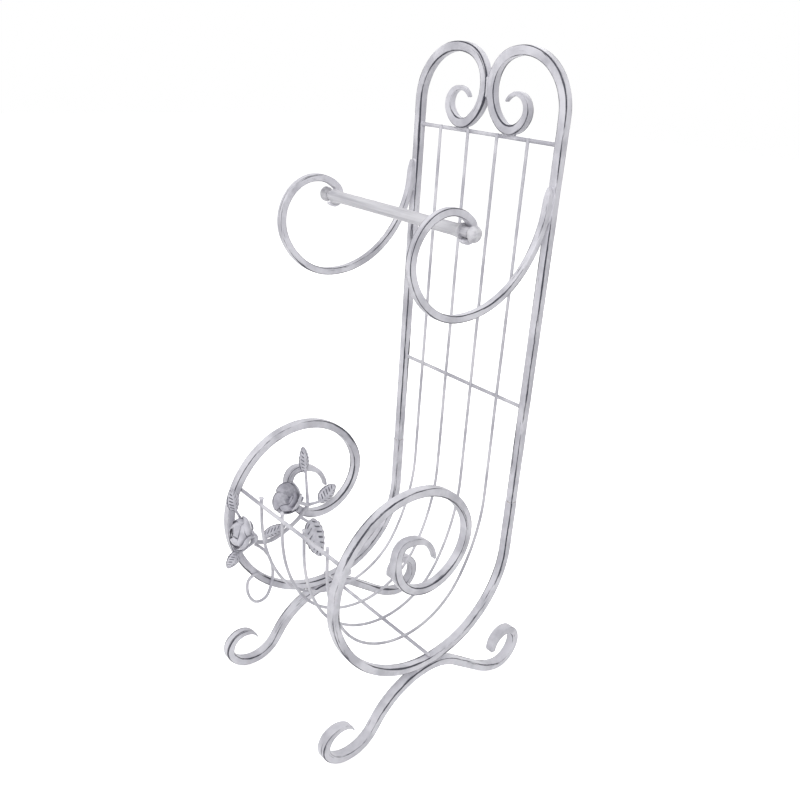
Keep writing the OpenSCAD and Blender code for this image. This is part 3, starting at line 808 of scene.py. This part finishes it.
def petalPlace(sizes, turn, lift, matrix):
    base, rim, rise, halfSpread, bowlAngle, lip = sizes
    size, bowl, shoulder = rose["radius"], radians(bowlAngle), rose["shoulder"]

    def surface(u, v):
        e = 2 * u - 1
        wall = bowl * v
        swell = sin(wall)
        radius = size * (base + (rim - base) * swell + rose["overlap"] * e + lip * v ** 6)
        past = max(0.0, v - shoulder) / (1 - shoulder) * rose["round"]
        spread = (0.5 + 0.5 * sin(pi / 2 * min(1, v / shoulder))) * sqrt(1 - past ** 2)
        up = size * rise * (1 - cos(wall)) / (1 - cos(bowl)) * (1 - rose["sag"] * e * e)
        angle = radians(turn + halfSpread * e * spread)
        return Vector((radius * cos(angle), radius * sin(angle), up + lift))

    def place(u, v):
        step = rose["slopeStep"]
        du = surface(min(1, u + step), v) - surface(max(0, u - step), v)
        dv = surface(u, min(1, v + step)) - surface(u, max(0, v - step))
        way = matrix.to_3x3() @ du.cross(dv).normalized()
        point, e = surface(u, v), abs(2 * u - 1)
        chips = noise.noise(point * rose["chipScale"] + Vector((turn, 0, 0)))
        uneven = rose["chipLeast"] + rose["chipShake"] * chips
        fringe = max(0.0, e - rose["fringeSide"], v - rose["fringeRim"]) * rose["fringe"] * uneven
        outside = max(fringe, rose["rootDark"] - v * rose["rootFade"])
        # the inner skin: patina with painted shade of the bowl, darker toward the bottom of the hollow
        inside = max(fringe, rim ** 2 * (rose["depth"] - rose["hollow"] * v))
        return matrix @ point, way, thinned(rose["petal"], rose["thinRim"], max(e, v)), (outside, inside)

    return place


def bloom(which, first, last, name):
    matrix, store = roseFrame(rose[which]), newStore()
    for turns, *sizes in rose[which]["rings"][first:last]:
        for k, turn in enumerate(turns):
            lift = rose["radius"] * (rose["lift"] + rose["liftStep"] * (k % 2))
            sheetMesh(petalPlace(sizes, turn, lift, matrix), rose["across"], rose["along"], store)
    return storePiece(name, store, rosePaint)


# calyx: a cup as rows of height and radius, sepals, and a stalk to the vine, in shares of the rose's radius
calyx = {
    "cup": ((0.1, 0.3), (0.0, 0.38), (-0.12, 0.33), (-0.26, 0.2), (-0.42, 0.1)), "cupSides": 20,
    "cupDark": 0.1, "sepals": 5, "across": 6, "along": 8, "sepalLength": 0.62, "sepalWide": 0.3,
    "sepalStart": 0.26, "sepalDrop": -0.16, "sepalRise": 0.3, "sepalHalf": 0.0004, "lean": 0.35,
    "root": 0.08, "blunt": 0.7, "rib": 0.48, "ribFade": 3.6, "edge": 0.8, "edgeDark": 3,
    "stalkStart": 0.9, "stalkBow": 0.12, "stalkShare": 0.42, "stalkSteps": 10, "stalkSides": 12,
}


def calyxPiece(which, name, root):
    matrix, size, store = roseFrame(rose[which]), rose["radius"], newStore()
    cup = [matrix @ Vector((0, 0, size * z)) for z, r in calyx["cup"]]
    tubeInto(store, cup, [size * r for z, r in calyx["cup"]], calyx["cupSides"], calyx["cupDark"])
    for k in range(calyx["sepals"]):
        turn = 2 * pi * (k + 0.5) / calyx["sepals"]
        out = Vector((cos(turn), sin(turn), 0))
        across = Vector((-sin(turn), cos(turn), 0))
        lean = Vector((-out.x * calyx["lean"], -out.y * calyx["lean"], 1))

        def place(u, v):
            swell = sin(pi * min(1, v * (1 - calyx["root"]) + calyx["root"])) ** calyx["blunt"]
            wide = calyx["sepalWide"] * size * swell
            far = size * (calyx["sepalStart"] + calyx["sepalLength"] * v)
            rise = size * (calyx["sepalDrop"] + calyx["sepalRise"] * v * v)
            point = out * far + across * wide * (u - 0.5) + Vector((0, 0, rise))
            way = (matrix.to_3x3() @ lean).normalized()
            e = abs(2 * u - 1)
            rib = max(0.0, calyx["rib"] - e / 2 * calyx["ribFade"])
            mark = rib + max(0.0, (e - calyx["edge"]) * calyx["edgeDark"])
            return matrix @ point, way, calyx["sepalHalf"], (mark, mark)

        sheetMesh(place, calyx["across"], calyx["along"], store)
    end = matrix @ Vector((0, 0, size * calyx["cup"][-1][0] * calyx["stalkStart"]))
    back = matrix.to_3x3() @ Vector((0, 0, -1))
    middle = end.lerp(root, 0.5) + back * (root - end).length * calyx["stalkBow"]
    shares = np.linspace(0, 1, calyx["stalkSteps"])
    bend = [end.lerp(middle, t).lerp(middle.lerp(root, t), t) for t in shares]
    tubeInto(store, bend, [vine["stem"] * calyx["stalkShare"]] * len(bend), calyx["stalkSides"])
    return storePiece(name, store, rosePaint)


def stemPoint(share):
    return Vector((vineX, *stemPath[round(share * (len(stemPath) - 1))][0]))


for which, root in (("low", stemPoint(0)), ("high", stemPoint(1))):
    addPiece(bloom(which, 0, 2, f"rose_{which}_petals"), f"rose_{which}_outer")
    addPiece(bloom(which, 2, 4, f"rose_{which}_heart"), f"rose_{which}_inner")
    addPiece(calyxPiece(which, f"rose_{which}_sepals", root), f"rose_{which}_calyx")
print("roses made")


# cast leaves with veins pressed in and teeth along the edge; each has its base, tip and width as shares
# of the basket's reach, and the share of the vine at which its stalk starts
sheet = {
    "thick": 0.0012, "thinEdge": 0.45, "across": 24, "along": 60, "blunt": 0.6, "fullest": 0.85,
    "teeth": 7, "toothDepth": 0.1, "veins": 7, "slant": 1.5, "veinFrom": 0.44, "veinSoft": 0.4,
    "veinDepth": 0.0004, "veinInner": 0.1, "veinOuter": 0.8, "fade": 9, "arch": 0.1, "fold": 0.16,
    "stalk": 0.0018, "stalkSteps": 8, "stalkEnd": 0.1, "stalkSides": 10, "ends": 0.01, "toothPower": 4,
    "foldPower": 1.5, "chipLeast": 1.05, "chipShake": 0.9, "chipScale": (2.2, 5.5, 40),
    "edge": 0.82, "edgeDark": 6, "edgeBelow": 0.5,
}
leaves = {
    "a": ((0.0181, -0.9767, 0.6028), (0.0275, -1.0, 0.729), 0.062, 0.0),
    "b": ((0.0136, -0.961, 0.3857), (0.0183, -1.028, 0.328), 0.074, 0.0),
    "c": ((0.0138, -0.8395, 0.4245), (0.0183, -0.718, 0.436), 0.064, 0.2),
    "d": ((0.0136, -0.6037, 0.6777), (0.0183, -0.624, 0.82), 0.056, 1.0),
    "e": ((0.0138, -0.52, 0.4915), (0.0183, -0.433, 0.563), 0.098, 1.0),
    "f": ((0.0138, -0.5753, 0.4166), (0.0181, -0.507, 0.184), 0.112, 0.8),
}


def leafPiece(name, baseShares, tipShares, wideShare, rootShare):
    base, tip, wide = onVine(baseShares), onVine(tipShares), wideShare * reach
    length = (tip - base).length
    ahead = (tip - base).normalized()
    out = Vector((1, 0, 0))
    way = (out - ahead * out.dot(ahead)).normalized()
    sideWay = way.cross(ahead)

    def outline(v):
        return sin(pi * v ** sheet["fullest"]) ** sheet["blunt"]

    def wave(turns):
        return abs((turns % 1) - 0.5) * 2

    def ramp(value):
        return max(0.0, min(1.0, value))

    def veinAt(e, v):
        near = wave(v * sheet["veins"] - e * sheet["slant"])
        band = ramp((e - sheet["veinInner"]) * sheet["fade"]) \
            * ramp((sheet["veinOuter"] - e) * sheet["fade"])
        return ramp((near - sheet["veinFrom"]) / sheet["veinSoft"]) * band

    def place(u, v):
        v = sheet["ends"] + (1 - 2 * sheet["ends"]) * v
        e = 2 * u - 1
        bite = sheet["toothDepth"] * wave(v * sheet["teeth"]) * abs(e) ** sheet["toothPower"]
        across = e * wide / 2 * outline(v) * (1 - bite)
        rise = sheet["arch"] * wide * sin(pi * v) \
            - sheet["fold"] * wide * abs(e) ** sheet["foldPower"] * outline(v)
        vein = veinAt(abs(e), v)
        places = zip((e, v, sum(tipShares)), sheet["chipScale"])
        chips = noise.noise(Vector([place * scale for place, scale in places]))
        uneven = sheet["chipLeast"] + sheet["chipShake"] * chips
        point = base + ahead * length * v + sideWay * across + way * (rise - sheet["veinDepth"] * vein)
        edge = max(0.0, (abs(e) - sheet["edge"]) * sheet["edgeDark"])
        half = thinned(sheet["thick"], sheet["thinEdge"], abs(e))
        return point, way, half, (min(1.0, (vein + edge) * uneven), edge * sheet["edgeBelow"])

    store = newStore()
    sheetMesh(place, sheet["across"], sheet["along"], store)
    root, start = stemPoint(rootShare), place(0.5, sheet["stalkEnd"])[0]
    bend = [root.lerp(start, t) for t in np.linspace(0, 1, sheet["stalkSteps"])]
    radii = np.linspace(sheet["stalk"], sheet["thick"], len(bend))
    tubeInto(store, bend, radii, sheet["stalkSides"])
    return storePiece(name, store, leafPaint)


for letter, shares in leaves.items():
    addPiece(leafPiece(f"leaf_{letter}_cast", *shares), "leaf_" + letter)
print("leaves made")


# welds painted over: runs of filler where two bars meet, and small lumpy beads on the wires
weld = {
    "sides": 20, "steps": 24, "square": 0.7, "lumps": 0.1, "lumpScale": 260, "endShare": 0.45,
    "faceShare": 0.94, "grip": 0.0015, "footRun": 0.017, "armRun": 0.03, "armRise": 0.0015,
    "ringHalf": 0.0026, "ringProud": 0.00025, "archGap": 0.0035, "curlRun": 0.007,
    "bead": 0.0014, "beadSpread": 0.25, "beadLump": 0.22, "beadFlat": 0.8,
    "tipBead": 0.0018, "tipDrop": 0.6, "endBead": 0.62, "endDepth": 0.0004,
    "armChips": 0.35, "uprightChips": 0.75, "archChips": 0.2, "beadLumpScale": 1.3, "beadSeed": 7,
}


# rows hold the centre of a ring of filler and its half sizes in two directions
def weldRun(name, rows, across, up, seed, chips=0.0):
    store, sides = newStore(), weld["sides"]
    for index, (place, halfA, halfB) in enumerate(rows):
        centre, share = Vector(place), index / (len(rows) - 1)
        close = 1.0 if 0 < share < 1 else weld["endShare"]
        for a in circle(sides):
            c, d = (copysign(abs(f(a)) ** weld["square"], f(a)) for f in (cos, sin))
            p = centre + across * halfA * c * close + up * halfB * d * close
            lump = 1 + weld["lumps"] * noise.noise(p * weld["lumpScale"] + Vector((seed, 0, 0)))
            storePoint(store, centre + (p - centre) * lump, chips * (1 - abs(2 * share - 1)))
    skinTube(store, 0, len(rows), sides)
    addPiece(storePiece(name, store, weldPaint))


xWay, yWay, zWay = Vector((1, 0, 0)), Vector((0, 1, 0)), Vector((0, 0, 1))
faceHalf = halfBar * weld["faceShare"]
spans = np.linspace(-1, 1, weld["steps"])
seamZ = spiralFloor - halfBar
riseR = min(r for r, t in scrolls["spiral"][2:4]) * reach + halfBar
armTopZ = archTop - scrolls["armTop"]
lowest = min((p for p, h in arch[len(arch) // 2:]), key=lambda p: p[1])
barTop = topBar[2] + touch
curlGap = lowest[1] - halfBar - barTop
for side, sign in bothSides:
    x = sign * sideX
    rows = []
    for t in spans * weld["footRun"]:
        fallR = (feet["crestFront"] if t < 0 else feet["crestBack"])[0] - halfBar
        rise, fall = t * t / 2 / riseR, t * t / 2 / fallR
        rows.append(((x, crestY + t, seamZ + (rise - fall) / 2), faceHalf,
                     (rise + fall) / 2 + weld["grip"]))
    weldRun(f"weld_foot_{side}", rows, xWay, zWay, sign * 3)
    rows = []
    for t in (spans + 1) / 2 * weld["armRun"]:
        gap = max(0.0, t - scrolls["armLead"]) ** 2 / 2 / (scrolls["arm"][0][0] * scrolls["armRing"])
        rows.append(((x, uprightY - halfBar - gap / 2, armTopZ + weld["armRise"] - t),
                     halfArm * weld["faceShare"], gap / 2 + weld["grip"]))
    weldRun(f"weld_arm_{side}", rows, xWay, yWay, sign * 5, weld["armChips"])
    rows = []
    for t in spans * weld["ringHalf"]:
        half = halfBar + weld["ringProud"] * (1 - (t / weld["ringHalf"]) ** 2)
        rows.append(((x, uprightY, weldZ + t), half, half))
    weldRun(f"weld_upright_{side}", rows, xWay, yWay, sign * 7, weld["uprightChips"])
    rows = [((-sign * lowest[0] + t, uprightY, barTop + curlGap / 2), touch,
             curlGap / 2 + weld["grip"]) for t in spans * weld["curlRun"]]
    weldRun(f"weld_curl_{side}", rows, yWay, zWay, sign * 9)
touching = [p for p, h in arch if -2 * (p[0] + halfBar) < weld["archGap"]]
rows = [((0, uprightY, p[1]), -(p[0] + halfBar) + weld["grip"], faceHalf) for p in touching]
weldRun("weld_arches", rows, xWay, yWay, 13, weld["archChips"])


# Geometry Nodes: a lumpy bead on each point, turned and sized at random from a fixed seed
def makeBeadTree():
    tree, given = newTree("weldBeads", {"Bead": "Object", "Spread": "Float", "Seed": "Int"})
    bead = addNode(tree, "GeometryNodeObjectInfo", {"Object": given["Bead"]}, "Geometry")
    turn = addNode(tree, "FunctionNodeRandomValue",
                   {1: (2 * pi,) * 3, "Seed": given["Seed"]}, data_type="FLOAT_VECTOR")
    vary = addNode(tree, "FunctionNodeRandomValue", {
        2: mathNode(tree, "SUBTRACT", 1.0, given["Spread"]), 3: mathNode(tree, "ADD", 1.0, given["Spread"]),
        "Seed": given["Seed"]}, 1)
    size = product(tree, vary, namedValue(tree, "grow"))
    placed = addNode(tree, "GeometryNodeInstanceOnPoints", {
        "Points": given["Geometry"], "Instance": bead, "Rotation": turn, "Scale": size})
    return finishTree(tree, placed, given["Material"])


shape, beadMesh = bmesh.new(), bpy.data.meshes.new("beadShape")
bmesh.ops.create_icosphere(shape, subdivisions=3, radius=1.0)
for vertex in shape.verts:
    vertex.co *= 1 + weld["beadLump"] * noise.noise(vertex.co * weld["beadLumpScale"])
    vertex.co.z *= weld["beadFlat"]
shape.to_mesh(beadMesh)
shape.free()
beadSpots = []
for x in wireX.values():
    spots = [(bar[1] - touch, bar[2]) for bar in (topBar, midBar)]
    spots += [(lowBar[1], lowBar[2] + touch), (frontBar[1] + touch, frontBar[2])]
    beadSpots += [((x, y, z), weld["bead"]) for y, z in spots]
    tipZ = frontBar[2] + touch + wires["poke"] - weld["tipBead"] * weld["tipDrop"]
    beadSpots.append(((x, frontBar[1] + touch + wires["wire"] / 2, tipZ), weld["tipBead"]))
for name in crossbars:
    centre, size = centreOf(name)
    for sign in (-1, 1):
        spot = (centre[0] + sign * (size[0] / 2 - weld["endDepth"]), centre[1], centre[2])
        beadSpots.append((spot, wires["cross"] * weld["endBead"]))
beadPoints = bpy.data.meshes.new("beadPoints")
beadPoints.from_pydata([spot for spot, grow in beadSpots], [], [])
setValues(beadPoints, "grow", [grow for spot, grow in beadSpots])
beadObject, bead = newObject("beadPoints", beadPoints), newObject("beadShape", beadMesh)
beads = plainMesh(beadObject, makeBeadTree(), {
    "Bead": bead, "Spread": weld["beadSpread"], "Seed": weld["beadSeed"],
    "Material": weldPaint}, "weld_beads")
bpy.data.objects.remove(bead)
closeAndSmooth(beads.data)
addPiece(beads)
print("welds made")


# floor, light and camera; a lamp has its place, size and power
studio = {
    "floor": seen(250, 250, 250), "floorHalf": 6.0, "floorRough": 0.9, "floorLift": 0.66, "world": 0.45,
    "lamps": {"keyLight": ((0.7, -0.9, 1.5), 1.3, 18.0), "fillLight": ((-1.6, -0.4, 1.0), 1.4, 5.0),
              "backLight": ((-0.5, 1.9, 1.3), 1.6, 11.0)}, "lampsFace": (0, 0, 0.3),
    "camera": (0.5136, -0.4588, 0.6112), "yaw": 47.35, "pitch": 26.35, "roll": 3.72,
    "lens": 36.34, "sensor": 36, "centreX": 396.5, "centreY": 444.8, "frame": 800, "clip": (0.02, 30),
}


# extra brightness that only the camera and mirror-like reflections see, so that the ground is white
def whiteLift(tree, amount):
    rays = tree.nodes.new("ShaderNodeLightPath").outputs
    seenRay = mathNode(tree, "MAXIMUM", rays["Is Camera Ray"], rays["Is Glossy Ray"])
    return product(tree, seenRay, amount)


half, mesh = studio["floorHalf"], bpy.data.meshes.new("studioFloor")
corners = [(-half, -half, 0), (half, -half, 0), (half, half, 0), (-half, half, 0)]
mesh.from_pydata(corners, [], [(0, 1, 2, 3)])
material = bpy.data.materials.new("studioFloor")
material.use_nodes = True
tree = material.node_tree
feedNode(tree, tree.nodes["Principled BSDF"], {
    "Base Color": studio["floor"], "Roughness": studio["floorRough"], "Emission Color": (1, 1, 1, 1),
    "Emission Strength": whiteLift(tree, studio["floorLift"])})
mesh.materials.append(material)
newObject("studioFloor", mesh)

world = bpy.data.worlds.new("softStudio")
world.use_nodes = True
tree = world.node_tree
strength = mathNode(tree, "ADD", whiteLift(tree, 1 - studio["world"]), studio["world"])
feedNode(tree, tree.nodes["Background"], {"Color": (1, 1, 1, 1), "Strength": strength})
bpy.context.scene.world = world

for name, (at, size, power) in studio["lamps"].items():
    data = bpy.data.lights.new(name, "AREA")
    data.shape, data.size, data.energy = "DISK", size, power
    lamp = newObject(name, data)
    lamp.location = at
    lamp.rotation_euler = (Vector(studio["lampsFace"]) - Vector(at)).to_track_quat("-Z", "Y").to_euler()

# the photograph's camera, from its fitted place, angles and picture centre
yaw, pitch, roll = (radians(studio[k]) for k in ("yaw", "pitch", "roll"))
forward = Vector((-sin(yaw) * cos(pitch), cos(yaw) * cos(pitch), -sin(pitch)))
right = Vector((cos(yaw), sin(yaw), 0))
up = right.cross(forward)
right, up = right * cos(roll) + up * sin(roll), up * cos(roll) - right * sin(roll)
data, frameSize = bpy.data.cameras.new("photoCamera"), studio["frame"]
data.sensor_width, data.lens = studio["sensor"], studio["lens"]
data.shift_x = (frameSize / 2 - studio["centreX"]) / frameSize
data.shift_y = (studio["centreY"] - frameSize / 2) / frameSize
data.clip_start, data.clip_end = studio["clip"]
camera = newObject("photoCamera", data)
turned = Matrix((right, up, -forward)).transposed().to_4x4()
camera.matrix_world = Matrix.Translation(studio["camera"]) @ turned
bpy.context.scene.camera = camera
bpy.context.scene.view_settings.view_transform = "Standard"

for helper in (squareLine, roundLine):
    bpy.data.objects.remove(helper)
print("scene ready")
